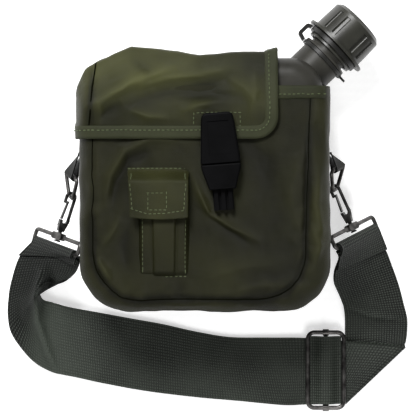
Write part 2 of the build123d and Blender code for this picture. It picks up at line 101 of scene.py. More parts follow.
def noisy(tree, coords, scale, detail=4.0):
    n = node(tree, "ShaderNodeTexNoise", Scale=scale, Detail=detail)
    tree.links.new(coords, n.inputs["Vector"])
    return n.outputs[0]


def ramp(tree, value, low, high, dark, light):
    r = tree.nodes.new("ShaderNodeValToRGB")
    r.color_ramp.elements[0].position, r.color_ramp.elements[1].position = low, high
    r.color_ramp.elements[0].color, r.color_ramp.elements[1].color = (*dark, 1), (*light, 1)
    tree.links.new(value, r.inputs[0])
    return r.outputs[0]


def math_node(tree, operation, a, b):
    n = tree.nodes.new("ShaderNodeMath")
    n.operation = operation
    for i, value in enumerate((a, b)):
        if isinstance(value, (int, float)):
            n.inputs[i].default_value = value
        else:
            tree.links.new(value, n.inputs[i])
    return n.outputs[0]


def bump(tree, b, height, strength, distance):
    n = node(tree, "ShaderNodeBump", Strength=strength, Distance=distance)
    tree.links.new(height, n.inputs["Height"])
    tree.links.new(n.outputs[0], b.inputs["Normal"])


def uneven_rough(tree, b, patches, spread, least):
    varied = math_node(tree, "ADD", math_node(tree, "MULTIPLY", patches, spread), least)
    tree.links.new(varied, b.inputs["Roughness"])


def woven(name, dark, light, rough, thread, sheen, ribs=0.5, use_uv=False, fold=False,
          relief=0.00025, spec=0.2, crumple=0.0):
    """Cloth: two crossed sets of threads, uneven dye, and painted shade deep in its folds, with painted
    highlights where the "fold" attribute is above zero.
    """
    m, t, b = shader(name, light, rough, sheen=sheen, spec=spec)
    co = t.nodes.new("ShaderNodeTexCoord")
    place = co.outputs["UV" if use_uv else "Object"]
    waves = []
    for axis in ("X", "Y"):
        w = node(t, "ShaderNodeTexWave", Scale=thread * (0.88 if axis == "Y" and use_uv else 1.0),
                 Distortion=0.6, Detail_Scale=2.0)
        w.bands_direction = axis
        t.links.new(place, w.inputs["Vector"])
        waves.append(w.outputs["Fac"])
    cloth = math_node(t, "MULTIPLY", waves[0], waves[1])
    patches = noisy(t, co.outputs["Object"], 22.0)
    grain = noisy(t, co.outputs["Object"], 900.0, 2.0)
    mixed = math_node(t, "ADD", math_node(t, "MULTIPLY", patches, 0.75),
                      math_node(t, "MULTIPLY", cloth, ribs))
    if fold:
        # painted light: the "fold" attribute adds painted shade (below zero) and painted highlight (above
        # zero) to the colour
        deep = t.nodes.new("ShaderNodeAttribute")
        deep.attribute_name = "fold"
        mixed = math_node(t, "ADD", mixed, deep.outputs["Fac"])
    t.links.new(ramp(t, mixed, 0.15, 0.95, dark, light), b.inputs["Base Color"])
    uneven_rough(t, b, patches, 0.25, rough - 0.12)
    threads = math_node(t, "ADD", cloth, math_node(t, "MULTIPLY", grain, 0.6))
    relief_height = math_node(t, "MULTIPLY", threads, relief)
    if crumple:
        wide = math_node(t, "MULTIPLY", noisy(t, co.outputs["Object"], 75.0, 5.0), crumple)
        relief_height = math_node(t, "ADD", relief_height, wide)
    bump(t, b, relief_height, 0.5, 1.0)
    return m


def moulded(name, dark, light, rough, spec=0.5):
    m, t, b = shader(name, light, rough, spec=spec)
    co = t.nodes.new("ShaderNodeTexCoord").outputs["Object"]
    patches, grain = noisy(t, co, 40.0), noisy(t, co, 1600.0, 2.0)
    t.links.new(ramp(t, patches, 0.3, 0.7, dark, light), b.inputs["Base Color"])
    uneven_rough(t, b, patches, 0.2, rough - 0.1)
    bump(t, b, grain, 0.25, 0.0001)
    return m


def blackened(name, dark, light, rough):
    m, t, b = shader(name, light, rough, metallic=0.85, spec=0.5)
    co = t.nodes.new("ShaderNodeTexCoord").outputs["Object"]
    patches, grain = noisy(t, co, 160.0, 6.0), noisy(t, co, 2500.0, 2.0)
    t.links.new(ramp(t, patches, 0.35, 0.72, dark, light), b.inputs["Base Color"])
    uneven_rough(t, b, patches, 0.3, rough - 0.15)
    bump(t, b, grain, 0.2, 0.00008)
    return m


cloth_mat = woven("nylon_cloth", (0.0035, 0.0036, 0.0012), (0.027, 0.0275, 0.0095), 0.46, 900, 0.0, 0.25,
                  fold=True, spec=0.12, crumple=0.0022)
# painted light: the same nylon as the cover's, coloured lighter for the flap and pocket flap, which face the
# light
flap_painted_light_mat = woven("nylon_painted_lighter", (0.006, 0.0064, 0.0018), (0.050, 0.052, 0.0165), 0.42, 900, 0.0, 0.25,
                 fold=True, spec=0.14, crumple=0.0022)
tape_mat = woven("binding_tape", (0.008, 0.0095, 0.0035), (0.040, 0.044, 0.020), 0.6, 700, 0.02, spec=0.15)
pile_mat = woven("pile", (0.03, 0.03, 0.02), (0.09, 0.09, 0.065), 0.9, 400, 0.2)
web_mat = woven("webbing", (0.003, 0.0037, 0.003), (0.040, 0.047, 0.038), 0.55, 1.74, 0.0, 0.9,
                use_uv=True, fold=True, relief=0.0008, spec=0.16)
web_plain_mat = woven("webbing_small", (0.0012, 0.0014, 0.001), (0.006, 0.0065, 0.005), 0.6, 500, 0.0,
                      spec=0.1)
thread_mat = woven("thread", (0.06, 0.075, 0.035), (0.15, 0.18, 0.10), 0.6, 1500, 0.0, spec=0.1)
# painted shadow: the near-black colour of the tubes laid in the seams' grooves
seam_shadow_mat = woven("seam_shadow", (0.001, 0.0011, 0.0005), (0.006, 0.0065, 0.003), 0.9, 900, 0.0, spec=0.0)
bottle_mat = moulded("bottle_plastic", (0.015, 0.0145, 0.012), (0.032, 0.031, 0.026), 0.42, 0.16)
cap_mat = moulded("cap_plastic", (0.010, 0.010, 0.008), (0.026, 0.026, 0.020), 0.36, 0.3)
tether_mat = moulded("tether_plastic", (0.004, 0.004, 0.0035), (0.012, 0.012, 0.0105), 0.42, 0.2)
latch_mat = moulded("latch_plastic", (0.0008, 0.0008, 0.0009), (0.0022, 0.0022, 0.0025), 0.5, 0.035)
rubber_mat = moulded("rubber", (0.01, 0.01, 0.01), (0.02, 0.02, 0.02), 0.7)
wire_mat = blackened("blackened_wire", (0.02, 0.019, 0.018), (0.13, 0.125, 0.12), 0.38)
hook_mat = blackened("blackened_hook", (0.012, 0.012, 0.012), (0.08, 0.078, 0.075), 0.42)
floor_mat = woven("floor_card", (0.80, 0.80, 0.80), (0.93, 0.93, 0.93), 0.9, 50, 0.0, 0.1)
floor_shader = floor_mat.node_tree.nodes["Principled BSDF"]
floor_shader.inputs["Emission Color"].default_value = (1, 1, 1, 1)
floor_shader.inputs["Emission Strength"].default_value = 0.55

for names, material in (
    (("bottle_front", "bottle_back", "spout", "spout_thread"), bottle_mat),
    (("cap", "cap_thread"), cap_mat),
    (("cap_gasket",), rubber_mat),
    (("tether_cap_ring", "tether_neck_ring", "tether_strap"), tether_mat),
    (("latch_socket", "latch_plug", "latch_arm_left", "latch_arm_right"), latch_mat),
    (("d_ring_left", "d_ring_right", "swivel_loop_left", "swivel_loop_right"), wire_mat),
    (("slider_frame", "slider_bar"), wire_mat),
    (("hook_left", "hook_right", "gate_left", "gate_right", "gate_rivet_left", "gate_rivet_right"), hook_mat),
):
    for name in names:
        for s in nodes[name].material_slots:
            s.material = material


# ------------------------------------------------------------------ mesh helpers, in millimetres
def piece(name, verts, faces, body, material, stands_for=(), smooth=True):
    mesh = bpy.data.meshes.new(name)
    mesh.from_pydata([tuple(float(c) * 0.001 for c in v) for v in verts], [], faces)
    mesh.validate()
    mesh.polygons.foreach_set("use_smooth", [smooth] * len(mesh.polygons))
    mesh.materials.append(material)
    ob = bpy.data.objects.new(name, mesh)
    scene.collection.objects.link(ob)
    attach(ob, body)
    if stands_for:
        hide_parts(*stands_for)
    return ob


def grid_faces(rows, columns, wrap=False, start=0):
    width = columns if wrap else columns - 1
    return [(start + i * columns + j, start + i * columns + (j + 1) % columns,
             start + (i + 1) * columns + (j + 1) % columns, start + (i + 1) * columns + j)
            for i in range(rows - 1) for j in range(width)]


def outline(half, low, top, r_low, r_top, step):
    """Points and outward normals round the rounded outline, from the middle of the bottom."""
    runs = [((0, low), (half - r_low, low)), ((half - r_low, low + r_low), r_low, -90),
            ((half, low + r_low), (half, top - r_top)), ((half - r_top, top - r_top), r_top, 0),
            ((half - r_top, top), (-half + r_top, top)), ((-half + r_top, top - r_top), r_top, 90),
            ((-half, top - r_top), (-half, low + r_low)), ((-half + r_low, low + r_low), r_low, 180),
            ((-half + r_low, low), (0, low))]
    out = []
    for run in runs:
        if len(run) == 2:
            a, b = np.array(run[0], float), np.array(run[1], float)
            n = max(1, round(np.linalg.norm(b - a) / step))
            d = (b - a) / np.linalg.norm(b - a)
            out += [(a + (b - a) * k / n, np.array((d[1], -d[0]))) for k in range(n)]
        else:
            c, r, a0 = np.array(run[0], float), run[1], run[2]
            n = max(3, round(r * math.pi / 2 / step))
            for k in range(n):
                a = math.radians(a0 + 90 * k / n)
                v = np.array((math.cos(a), math.sin(a)))
                out.append((c + r * v, v))
    return np.array([p for p, _ in out]), np.array([n for _, n in out])


def cushion(half, low, top, z0, z1, r_low, r_top, edge, step, fine):
    """Verts, normals and faces of the closed cushion form, its rings from back to front."""
    p, n = outline(half, low, top, r_low, r_top, step)
    centre = np.array((0, (low + top) / 2))
    rings = []
    flat = p - n * edge
    for t in np.linspace(0.02, 0.98, max(8, round(80 / fine / 2))):
        rings.append((centre + (flat - centre) * t, z0, np.zeros_like(n), -1.0))
    for a in np.linspace(-90, 0, 9):
        c, s = math.cos(math.radians(a)), math.sin(math.radians(a))
        rings.append((p - n * edge * (1 - c), z0 + edge * (1 + s), n * c, s))
    for z in np.linspace(z0 + edge, z1 - edge, max(4, round((z1 - z0 - 2 * edge) / (fine * 1.5))))[1:-1]:
        rings.append((p, z, n, 0.0))
    for a in np.linspace(0, 90, 11):
        c, s = math.cos(math.radians(a)), math.sin(math.radians(a))
        rings.append((p - n * edge * (1 - c), z1 - edge * (1 - s), n * c, s))
    for t in np.linspace(0.985, 0.01, round(80 / fine)):
        rings.append((centre + (flat - centre) * t, z1, np.zeros_like(n), 1.0))
    verts = np.concatenate([np.column_stack((xy, np.full(len(xy), z))) for xy, z, _, _ in rings])
    norms = np.concatenate([np.column_stack((nn, np.full(len(nn), nz))) for _, _, nn, nz in rings])
    faces = grid_faces(len(rings), len(p), wrap=True)
    last = (len(rings) - 1) * len(p)
    faces.append(tuple(reversed(range(len(p)))))
    faces.append(tuple(last + k for k in range(len(p))))
    return verts, norms, faces


def crease(xy, line, amount, width, power=1.4):
    """Height of one fold along a line, fading towards its ends."""
    pts = np.array(line, float)
    seg = np.linalg.norm(np.diff(pts, axis=0), axis=1)
    total, run = seg.sum(), 0.0
    best, along = np.full(len(xy), 1e9), np.zeros(len(xy))
    for a, b, length in zip(pts[:-1], pts[1:], seg):
        d = (b - a) / length
        t = np.clip((xy - a) @ d, 0, length)
        dist = np.linalg.norm(xy - (a + t[:, None] * d), axis=1)
        near = dist < best
        best[near], along[near] = dist[near], ((run + t) / total)[near]
        run += length
    fade = np.clip(np.sin(np.pi * np.clip(along, 0.04, 0.96)), 0, 1) ** 0.6
    return amount * fade * np.exp(-((best / width) ** power))


def rough_field(points, size, seed):
    return np.array([noise.noise(Vector(p) / size + Vector((seed, seed * 2.3, 7.1))) for p in points])


def fractal(points, size, seed):
    return rough_field(points, size, seed) + 0.5 * rough_field(points, size / 2.1, seed + 5)


def smooth_step(x):
    x = np.clip(x, 0, 1)
    return x * x * (3 - 2 * x)


def cut(norms, verts, faces, planes):
    """Verts, normals and faces of what is left when the far side of each plane is removed."""
    bm = bmesh.new()
    layer = bm.verts.layers.float_vector.new("n")
    made = [bm.verts.new(tuple(v)) for v in verts]
    for f in faces:
        bm.faces.new([made[i] for i in f])
    for v, n in zip(made, norms):
        v[layer] = Vector(n)
    for point, normal in planes:
        geom = bm.verts[:] + bm.edges[:] + bm.faces[:]
        bmesh.ops.bisect_plane(bm, geom=geom, dist=1e-4, plane_co=point, plane_no=normal, clear_outer=True)
    bm.verts.index_update()
    left_verts = np.array([tuple(v.co) for v in bm.verts])
    left_norms = np.array([tuple(v[layer].normalized() if v[layer].length else Vector((0, 0, 1)))
                           for v in bm.verts])
    left_faces = [tuple(v.index for v in f.verts) for f in bm.faces]
    bm.free()
    return left_verts, left_norms, left_faces


def thicken(ob, thickness):
    """Gives an open cloth its thickness, inwards, and applies it."""
    mod = ob.modifiers.new("thickness", "SOLIDIFY")
    mod.thickness, mod.offset = thickness * 0.001, -1
    apply(ob)


def apply(ob):
    made = bpy.data.meshes.new_from_object(ob.evaluated_get(bpy.context.evaluated_depsgraph_get()))
    ob.modifiers.clear()
    ob.data = made


# stores painted shade (below zero) and painted highlight (above zero) per point, in the "fold" attribute that
# the materials read
def set_painted_light(ob, values):
    attribute = ob.data.attributes.new("fold", "FLOAT", "POINT")
    attribute.data.foreach_set("value", [float(v) for v in values])


def spline(a, b, c, d, t):
    """The point a share t of the way from b to c, on the smooth curve through all four."""
    return 0.5 * (2 * b + (c - a) * t + (2 * a - 5 * b + 4 * c - d) * t * t
                  + (3 * b - a - 3 * c + d) * t ** 3)


def smooth_path(points, step):
    """Points along a smooth curve through the given ones."""
    p = np.array(points, float)
    out = []
    for i in range(len(p) - 1):
        a, b, c, d = p[max(i - 1, 0)], p[i], p[i + 1], p[min(i + 2, len(p) - 1)]
        n = max(1, round(float(np.linalg.norm(c - b)) / step))
        out += [spline(a, b, c, d, k / n) for k in range(n)]
    return out + [p[-1]]


def resample(points, step):
    pts = [Vector(p) for p in points]
    out = [pts[0]]
    for a, b in zip(pts[:-1], pts[1:]):
        length = (b - a).length
        n = max(1, round(length / step))
        out += [a + (b - a) * (k / n) for k in range(1, n + 1)]
    return out


class Skin:
    """A finished cloth surface that trims and stitches are laid on."""

    def __init__(self, verts, faces):
        self.tree = BVHTree.FromPolygons([tuple(v) for v in verts], faces)

    def lay(self, point, lift=0.0):
        hit, normal, _, _ = self.tree.find_nearest(Vector(point))
        return hit + normal * lift, normal


# a tape's section: half widths across it, and heights in thicknesses
TAPE_PROFILE = ((-1.02, -0.3), (-0.96, 0.75), (-0.5, 1.0), (0, 1.02), (0.5, 1.0), (0.96, 0.75), (1.02, -0.3))


def tape(name, skin, path, width, thick, body, material):
    """Flat tape laid on a surface along a path, its edges turned down to it."""
    pts = resample(path, 1.6)
    rows = []
    for i, p in enumerate(pts):
        tangent = (pts[min(i + 1, len(pts) - 1)] - pts[max(i - 1, 0)]).normalized()
        _, normal = skin.lay(p)
        across = tangent.cross(normal).normalized()
        row = []
        for k, h in TAPE_PROFILE:
            wobble = 0.25 * noise.noise(Vector((p.x, p.y, p.z)) * 0.11 + Vector((k, 0, 3)))
            place, nn = skin.lay(p + across * (width / 2 * k + wobble))
            row.append(place + nn * (thick * h))
        rows.append(row)
    verts = [v for row in rows for v in row]
    return piece(name, verts, grid_faces(len(rows), len(TAPE_PROFILE)), body, material)


def stitches(name, skin, path, body, r=0.33, lift=0.5, shift=0.0):
    """A row of separate stitches, each a small pointed lozenge lying on the cloth."""
    pitch, length = 3.3, 2.3
    pts = resample(path, 0.4)
    verts, faces, run, target = [], [], 0.0, 0.0
    for a, b in zip(pts[:-1], pts[1:]):
        run += (b - a).length
        if run < target:
            continue
        target += pitch
        tangent = (b - a).normalized()
        _, normal = skin.lay(a)
        side = tangent.cross(normal).normalized()
        centre, normal = skin.lay(a + side * (shift + 0.12 * noise.noise(a * 0.6)))
        centre = centre + normal * lift
        base = len(verts)
        verts.append(centre - tangent * length / 2 - normal * r)
        for t in (-0.3, 0.3):
            for c, s in ((1, 0), (0, 1), (-1, 0), (0, -1)):
                verts.append(centre + tangent * length * t + side * r * c * 1.15 + normal * r * s)
        verts.append(centre + tangent * length / 2 - normal * r)
        for k in range(4):
            j = (k + 1) % 4
            faces += [(base, base + 1 + j, base + 1 + k),
                      (base + 1 + k, base + 1 + j, base + 5 + j, base + 5 + k),
                      (base + 5 + k, base + 5 + j, base + 9)]
    return piece(name, verts, faces, body, thread_mat)


def painted_shadow_tube(name, points, radius, body):
    """A thin dark round tube along the bottom of a seam: a painted shadow for the seam's groove."""
    sides = 6
    rows = []
    for i, p in enumerate(points):
        tangent = (points[min(i + 1, len(points) - 1)] - points[max(i - 1, 0)]).normalized()
        a = tangent.orthogonal().normalized() if i == 0 else (a - tangent * a.dot(tangent)).normalized()
        b = tangent.cross(a)
        angles = [k * 2 * math.pi / sides for k in range(sides)]
        rows.append([p + (a * math.cos(angle) + b * math.sin(angle)) * radius for angle in angles])
    verts = [v for row in rows for v in row]
    faces = grid_faces(len(rows), sides, wrap=True)
    faces += [tuple(range(sides))[::-1], tuple(len(verts) - sides + k for k in range(sides))]
    return piece(name, verts, faces, body, seam_shadow_mat)


# ------------------------------------------------------------------ cover
low, high = node_mm("gusset")
half, bottom, depth = high.x, low.y, high.z
mouth = high.y
top = node_mm("back_panel")[1].y
fine = 1.3
verts, norms, faces = cushion(half, bottom, top, 0.0, depth, 34, 22, 13, 1.8, fine)
verts, norms, faces = cut(norms, verts, faces, [((0, mouth, 0), (0, 1, 0))])
seam_x0, seam_x1, seam_y = -80.0, 74.0, -86.5
seam_corners = [(seam_x0, 40), (seam_x0 + 1, 0), (seam_x0, -40), (seam_x0 + 2, -62), (seam_x0 + 11, -77),
                (seam_x0 + 27, seam_y), (-20, seam_y + 0.5), (25, seam_y), (45, seam_y + 1), (62, -77),
                (71, -60), (seam_x1 - 2, -30), (seam_x1 - 1, 0), (seam_x1, 35), (seam_x1 + 1, 58)]
seam_line = [tuple(r[:2]) for r in smooth_path([(x, y, 0) for x, y in seam_corners], 2.0)]


def cover_height(points, normals):
    xy = points[:, :2]
    front = smooth_step((normals[:, 2] - 0.3) / 0.6)
    h = np.zeros(len(points))
    for line, amount, width in (
        ([(-9.2, 4.4), (-4.2, -9.8), (2.9, -25.5), (19.3, -35.4), (37.8, -44.0)], 1.6, 3.2),
        ([(-6.3, -19.8), (12.2, -34.0), (32.1, -46.8)], -1.0, 3.0),
        ([(-71.8, -19.8), (-67.5, 1.6), (-57.5, 18.6), (-39.0, 27.9), (-19.1, 27.2)], 1.5, 4.0),
        ([(-66.1, -22.6), (-62.5, -2.7), (-53.3, 12.9), (-34.8, 20.0)], -1.1, 4.0),
        ([(-77.4, -55.3), (-72.5, -63.9), (-66.1, -73.8)], 1.7, 3.4),
        ([(-59.7, -25.5), (-65.4, -38.3), (-74.6, -51.1)], 1.1, 3.0),
        ([(-78.9, 27.2), (-76.7, 9.4), (-80.3, -12.0), (-76.7, -31.2)], 1.0, 3.0),
        ([(-53.3, -31.2), (-57.5, -47.5), (-55.4, -65.3)], -1.0, 4.0),
        ([(25.0, -79.5), (44.9, -76.0), (67.6, -77.4)], 1.0, 4.0),
        ([(0.1, -72.4), (25.0, -63.9), (54.8, -59.6)], 0.8, 7.0),
        ([(67.6, 20.0), (61.9, -8.4), (65.5, -40.4)], 1.0, 8.0),
        ([(25.0, 34.3), (40.6, 12.9), (46.3, -15.5)], -0.8, 9.0),
        ([(80.8, 6.0), (78.7, -19.1), (83.0, -44.1)], 1.4, 3.0),
        ([(76.3, -33.3), (80.8, -48.4), (77.3, -62.7)], 1.6, 2.6),
        ([(80.1, 41.7), (81.5, 20.3)], -1.0, 3.0),
        ([(-39.3, -88.4), (-10.7, -89.1), (17.9, -87.7)], 0.9, 3.0),
    ):
        h += front * crease(xy, line, 2.3 * amount, 0.85 * width)
    seam = crease(xy, seam_line, 1.0, 2.2, 2.0)
    near = crease(xy, seam_line, 1.0, 9.0, 1.0)
    h += front * (-1.7 * seam + near * 2.0 * rough_field(points, 7.0, 3.0))
    h += 0.9 * fractal(points, 34.0, 1.0) * (0.35 + 0.65 * (normals[:, 2] > -0.5))
    h += 0.35 * fractal(points * np.array((1.0, 0.55, 1.0)), 11.0, 9.0) * (normals[:, 2] > -0.5)
    side = 1 - np.abs(normals[:, 2])
    h += side * 0.9 * rough_field(points * np.array((1.0, 1.0, 0.35)), 13.0, 4.0)
    h[normals[:, 2] < -0.9] *= 0.0
    return h, seam * front


height, seam_depth = cover_height(verts, norms)
crown = (1.6 * smooth_step((norms[:, 2] - 0.5) / 0.5) * np.clip(1 - (verts[:, 0] / 80) ** 2, 0, 1)
         * np.clip(1 - ((verts[:, 1] + 10) / 80) ** 2, 0, 1))
flat = np.zeros(len(verts))
shaped = (verts + norms * np.clip(height * 0.9 + 0.9, -0.35, 6.0)[:, None]
          + np.column_stack((flat, flat, crown * 0.4)))
shaped[:, 2] = np.maximum(shaped[:, 2], 0.02)
cover = piece("cover_cloth", shaped, faces, "cover", cloth_mat,
              ("front_panel", "gusset", "back_panel"))
# painted shade in the seam's groove and the creases, painted highlight on raised folds, and a painted lighter
# right side
set_painted_light(cover, -0.3 * seam_depth + 0.085 * height - 0.10
         + 0.22 * smooth_step((shaped[:, 0] - 75) / 5) * smooth_step((shaped[:, 1] + 70) / 60))
cover_skin = Skin(shaped, faces)
thicken(cover, 1.4)

face_z = depth - 0.6
# painted shadow: a dark tube along the cover's seam stands for the shade in its groove
seam_shadow_path = [cover_skin.lay((x, y, face_z), 0.1)[0]
        for x, y, _ in resample([(x, y, 0) for x, y in seam_line], 1.5)]
seam_shadow_piece = painted_shadow_tube("cover_seam_painted_shadow", seam_shadow_path, 0.4, "cover")
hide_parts("seam_piping")
mouth_path = [(47, mouth - 4.6, face_z), (70, mouth - 4.2, face_z), (84, mouth - 4, face_z - 4)]
mouth_tape = tape("cover_mouth_tape", cover_skin, mouth_path, 10.0, 0.9, "cover", tape_mat)
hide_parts("mouth_binding")
mouth_stitch = stitches("cover_mouth_stitches", cover_skin, mouth_path, "cover", lift=1.3, shift=2.0)

inset = 1.8
verts, norms, faces = cushion(half - inset, bottom + inset, top - inset, inset, depth - inset,
                              32.2, 20.2, 11.2, 2.6, fine * 1.6)
verts, norms, faces = cut(norms, verts, faces, [((0, mouth - 3, 0), (0, 1, 0))])
tufted = verts - norms * (0.12 + 0.12 * rough_field(verts, 3.0, 6.0))[:, None]
lining = piece("lining_pile", tufted, faces, "cover", pile_mat, ("lining",))
thicken(lining, 1.2)

# ------------------------------------------------------------------ flap
low, high = node_mm("flap_shell")
grow = -low.x
verts, norms, faces = cushion(grow, bottom - 3, high.y, -3.0, high.z, 37, 25, 16, 1.8, fine)
right, lower, corner = high.x, low.y, 16.0
planes = [((0, lower, 0), (0, -1, 0)), ((right, 0, 0), (1, 0, 0)), ((0, 0, low.z), (0, 0, -1))]
for k in range(1, 8):
    a = math.radians(90 * k / 8)
    v = (math.cos(a), -math.sin(a), 0)
    planes.append(((right - corner + corner * v[0], lower + corner + corner * v[1], 0), v))
verts, norms, faces = cut(norms, verts, faces, planes)
# how far the flap's top edge sags along Y, at places along X
top_shift = ((-92, -12), (-86, -7.5), (-80, -8.8), (-70, -7.4), (-60, -2.7), (-53, 0.5), (-35, -1.5),
             (-20, -3.2), (-4, -6.1), (15, -3.9), (30, -3.2), (44, -3.2), (52, -0.7))


def flap_form(points, normals):
    """The flap's puckered, sloping shape: the moved points and how deep each fold is."""
    xy = points[:, :2]
    out = points.copy()
    front = smooth_step((normals[:, 2] - 0.2) / 0.6)
    h = np.zeros(len(points))
    for line, amount, width in (
        ([(-81.6, 49.8), (-66.0, 61.2), (-41.8, 71.8), (-14.8, 83.9)], 3.0, 5.0),
        ([(-60.3, 47.0), (-39.0, 58.3), (-13.4, 64.0), (15.0, 72.5)], -2.0, 7.0),
        ([(-44.7, 65.4), (-26.2, 72.5), (0.1, 79.6), (23.5, 82.5)], 1.8, 4.0),
        ([(-54.6, 48.4), (-39.0, 43.4), (-23.4, 42.7)], 1.6, 3.6),
        ([(-13.4, 47.0), (-5.6, 51.9), (6.5, 54.1)], 1.5, 3.4),
        ([(-17.7, 56.9), (0.8, 61.2), (24.9, 58.3)], -1.2, 6.0),
        ([(-78.7, 41.3), (-67.4, 47.0), (-57.4, 52.6)], -1.2, 4.0),
        ([(-75.9, 56.9), (-73.8, 47.0), (-75.2, 37.0)], 1.1, 3.0),
        ([(15.0, 76.8), (29.2, 65.4), (37.7, 52.6)], 1.3, 5.0),
        ([(34.9, 81.0), (36.3, 62.6), (32.0, 44.1)], 1.0, 3.4),
        ([(-53.2, 85.3), (-40.4, 76.8), (-37.6, 66.8)], -1.2, 4.0),
    ):
        h += front * crease(xy, line, 1.9 * amount, 0.85 * width)
    side_seam = [(-81, 90), (-80.5, 60), (-82, 36)]
    groove = front * crease(xy, side_seam, 1.0, 1.8, 2.0)
    puckers = crease(xy, side_seam, 1.0, 8.0, 1.0)
    h += -2.0 * groove + 0.8 * front * puckers * rough_field(points, 6.0, 2.0)
    h += 0.8 * fractal(points, 30.0, 21.0) + 0.3 * fractal(points, 10.0, 28.0)
    edge = smooth_step((points[:, 1] - lower) / 14.0)
    h *= 0.35 + 0.65 * edge
    out += normals * (np.clip(h + 0.6, -2.2, 5.5) * 0.8)[:, None]
    shift = np.interp(points[:, 0], [a for a, _ in top_shift], [b for _, b in top_shift])
    up = smooth_step((points[:, 1] - 48) / 38.0)
    out[:, 1] += shift * up
    side_edge = smooth_step((-points[:, 0] - 84) / 5) * smooth_step((64 - points[:, 2]) / 6)
    out[:, 1] += 4.4 * side_edge * (1 - edge)
    swell = 2.0 * smooth_step((points[:, 1] - 30) / 18.0)
    slope = 6.5 * smooth_step((points[:, 1] - 50) / 38.0)
    out[:, 2] += front * (swell - slope)
    return out, h, groove


shaped, height, groove = flap_form(verts, norms)
flap = piece("flap_cloth", shaped, faces, "flap", flap_painted_light_mat, ("flap_shell",))
# painted highlight on the flap's upper left, where it slopes to the light; painted shade in the side seam's
# groove and creases, painted highlight on raised folds
painted_highlight = smooth_step((shaped[:, 1] - 34) / 46) * smooth_step((25 - shaped[:, 0]) / 70)
set_painted_light(flap, -0.35 * groove + 0.075 * height + 0.34 * painted_highlight - 0.16)
flap_skin = Skin(shaped, faces)
thicken(flap, 1.4)

edge_z = high.z
left = -grow
quarter = math.pi / 2
bend = 16
tape_in = 4.6
inner = corner - tape_in
tape_x, tape_y = right - tape_in, lower + tape_in
lower_edge = [(left, lower + 9.0, 17), (left, lower + 9.0, 50), (left, lower + 6.8, 60)]
lower_edge += [(left + bend * (1 - math.cos(a)), tape_y, edge_z - bend * (1 - math.sin(a)))
               for a in np.linspace(0, quarter, 9)]
lower_edge += [(-40, tape_y, edge_z), (0, tape_y, edge_z), (right - corner, tape_y, edge_z)]
lower_edge += [(right - corner + inner * math.sin(a), lower + corner - inner * math.cos(a), edge_z)
               for a in np.linspace(0.15, quarter, 8)]
lower_edge += [(tape_x, 60, edge_z - 2), (tape_x, 76, edge_z - 5.0)]
lower_edge += [(tape_x, high.y - bend + (bend - 2.0) * math.sin(a), edge_z - 5.5 - 12 * (1 - math.cos(a)))
               for a in np.linspace(0.2, quarter, 6)]
lower_edge += [(tape_x, high.y - 2, 40), (tape_x, high.y - 2, 9)]
flap_tape = tape("flap_binding_tape", flap_skin, lower_edge, 9.6, 0.9, "flap", tape_mat)
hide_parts("flap_binding")
flap_stitch = stitches("flap_binding_stitches", flap_skin, lower_edge, "flap", lift=1.3, shift=-1.6)
seam_places = ((-79, 84, 9), (-80.7, 76, 4), (-80.5, 66, 2), (-80.5, 56, 1.5), (-81, 48, 1.5), (-82, 38, 1.5))
seam = [flap_skin.lay((x, y, edge_z - dz), 0.1)[0] for x, y, dz in seam_places]
# painted shadow: a dark tube along the flap's side seam groove
flap_seam_shadow_piece = painted_shadow_tube("flap_seam_painted_shadow", resample(seam, 1.5), 0.6, "flap")
box_x0, box_x1, box_y0, box_y1 = -8.0, 25.0, 36.5, 46.6
box_path = [(box_x0, box_y0, edge_z), (box_x0, box_y1, edge_z),
            (box_x1, box_y1, edge_z), (box_x1, box_y0, edge_z)]
box_stitch = stitches("flap_box_stitches", flap_skin, box_path, "flap", lift=0.25, r=0.26)

# ------------------------------------------------------------------ small pocket
low, high = node_mm("pocket_body")
px0, px1, py0, py1 = -48.8, -9.5, -71.8, low.y + 66
z_base, z_top = low.z - 0.6, high.z
nx, ny = 60, 90


def pocket_height(x, y):
    """Height of the box-pleated pocket: low at its sides and foot, with a groove beside each pleat."""
    t = (y - py0) / (py1 - py0)
    pleat_left, pleat_right = px0 + 12.5 - 1.0 * t, px1 - 12.0 + 0.8 * t
    at = np.array([[x, y]])
    side = smooth_step(min(x - px0, px1 - x) / 5.0)
    foot = smooth_step((y - py0) / 6.0)
    pleat = smooth_step((x - pleat_left) / 1.2 + 0.5) * smooth_step((pleat_right - x) / 1.2 + 0.5)
    fullness = side * foot * (0.45 + 0.55 * smooth_step(t * 1.6))
    z = z_base + (z_top - z_base - 2.2) * fullness + 2.0 * pleat * foot
    z += 0.5 * foot * side * noise.noise(Vector((x * 0.09, y * 0.05, 2.0)))
    z += 0.5 * pleat * crease(at, [(pleat_left + 3, py0 + 6), (pleat_left + 7, py1)], 1.0, 3.0)[0]
    groove = sum(crease(at, [(edge, py0 + 2), (edge, py1)], 1.0, 0.9, 2)[0]
                 for edge in (pleat_left - 0.6, pleat_right + 0.6))
    return min(z - 0.9 * groove, z_top - 0.1)


pocket_verts = [(x, y, pocket_height(x, y))
                for y in np.linspace(py0, py1, ny) for x in np.linspace(px0, px1, nx)]
pocket_faces = grid_faces(ny, nx)
pocket = piece("pocket_cloth", pocket_verts, pocket_faces, "cover", cloth_mat,
               ("pocket_body",))
# painted shade where the pocket sinks to the panel at its sides and foot, painted highlight on its raised top
set_painted_light(pocket, [-0.12 + 0.10 * ((v[2] - z_base) / (z_top - z_base)) for v in pocket_verts])
pocket_skin = Skin(pocket_verts, pocket_faces)
thicken(pocket, 1.0)
pocket_rows = (
    ("foot", [(px0 + 2, py0 + 1.2, z_base + 2), (px1 - 1, py0 + 1.2, z_base + 2)], 0.3, 0.3),
    ("left", [(px0 + 2.2, py0 + 4, z_top), (px0 + 2.2, py1 - 4, z_top)], 0.2, 0.22),
    ("right", [(px1 - 1.6, py0 + 2, z_top), (px1 - 1.6, py1 - 4, z_top)], 0.2, 0.22))
pocket_pieces = [stitches("pocket_" + where + "_stitches", pocket_skin, path, "cover", lift=lift, r=r)
                 for where, path, lift, r in pocket_rows]

